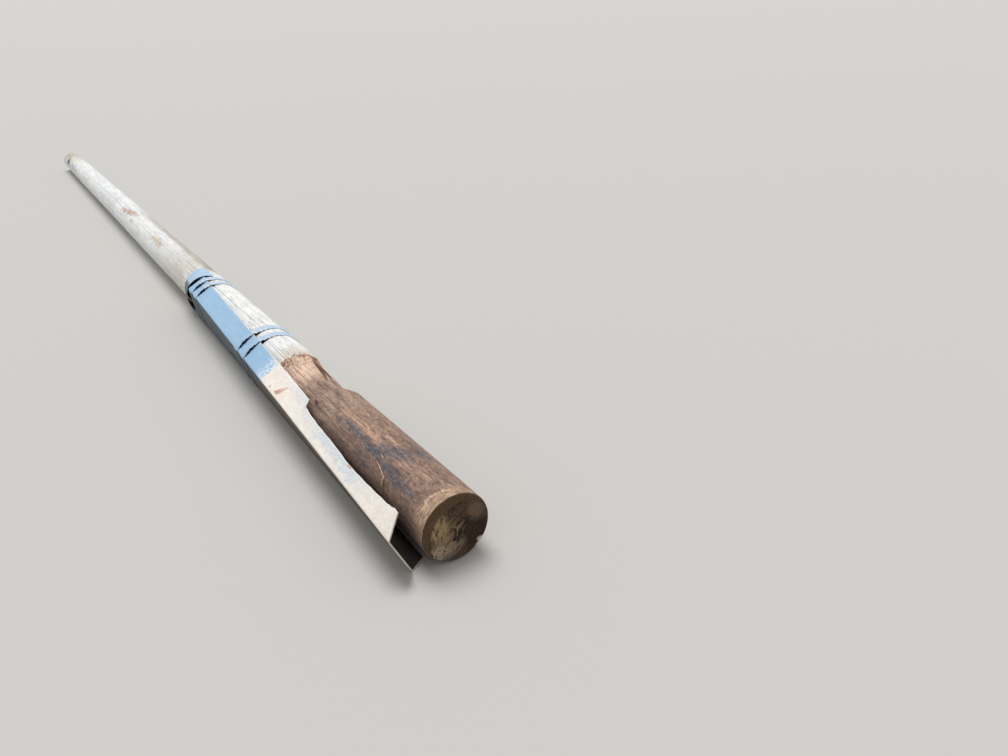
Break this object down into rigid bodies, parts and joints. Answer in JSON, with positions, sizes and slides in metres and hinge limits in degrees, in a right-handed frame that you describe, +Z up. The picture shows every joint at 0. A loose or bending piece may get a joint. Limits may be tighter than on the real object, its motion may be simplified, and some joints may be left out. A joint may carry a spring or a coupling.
{
  "type": "short wooden utility pole with a banded steel reinforcing channel, lying down",
  "caption": "Tapered timber utility pole lying on the ground, its rotted groundline braced by a banded, flared steel channel with a pointed driven end.",
  "frame": {"origin": "middle of the lying pole's footprint, at the level of the ground it rests on", "axes": "+X along the pole from its butt to its tip, +Y to the side that carries the steel channel, +Z up"},
  "size_m": [7.639, 0.3268, 0.2407],
  "materials": {
    "weathered_timber": "rough",
    "galvanised_channel": "matte",
    "painted_strap": "satin",
    "painted_sheet": "satin"
  },
  "bodies": {
    "root": {"pole_shaft": "weathered_timber", "reinforcing_channel": "galvanised_channel", "channel_top_cap": "painted_sheet", "lower_strap_near_butt": "painted_strap", "lower_seal_near_butt": "painted_strap", "lower_strap_near_tip": "painted_strap", "lower_seal_near_tip": "painted_strap", "upper_strap_near_butt": "painted_strap", "upper_seal_near_butt": "painted_strap", "upper_strap_near_tip": "painted_strap", "upper_seal_near_tip": "painted_strap"}
  },
  "joints": []
}
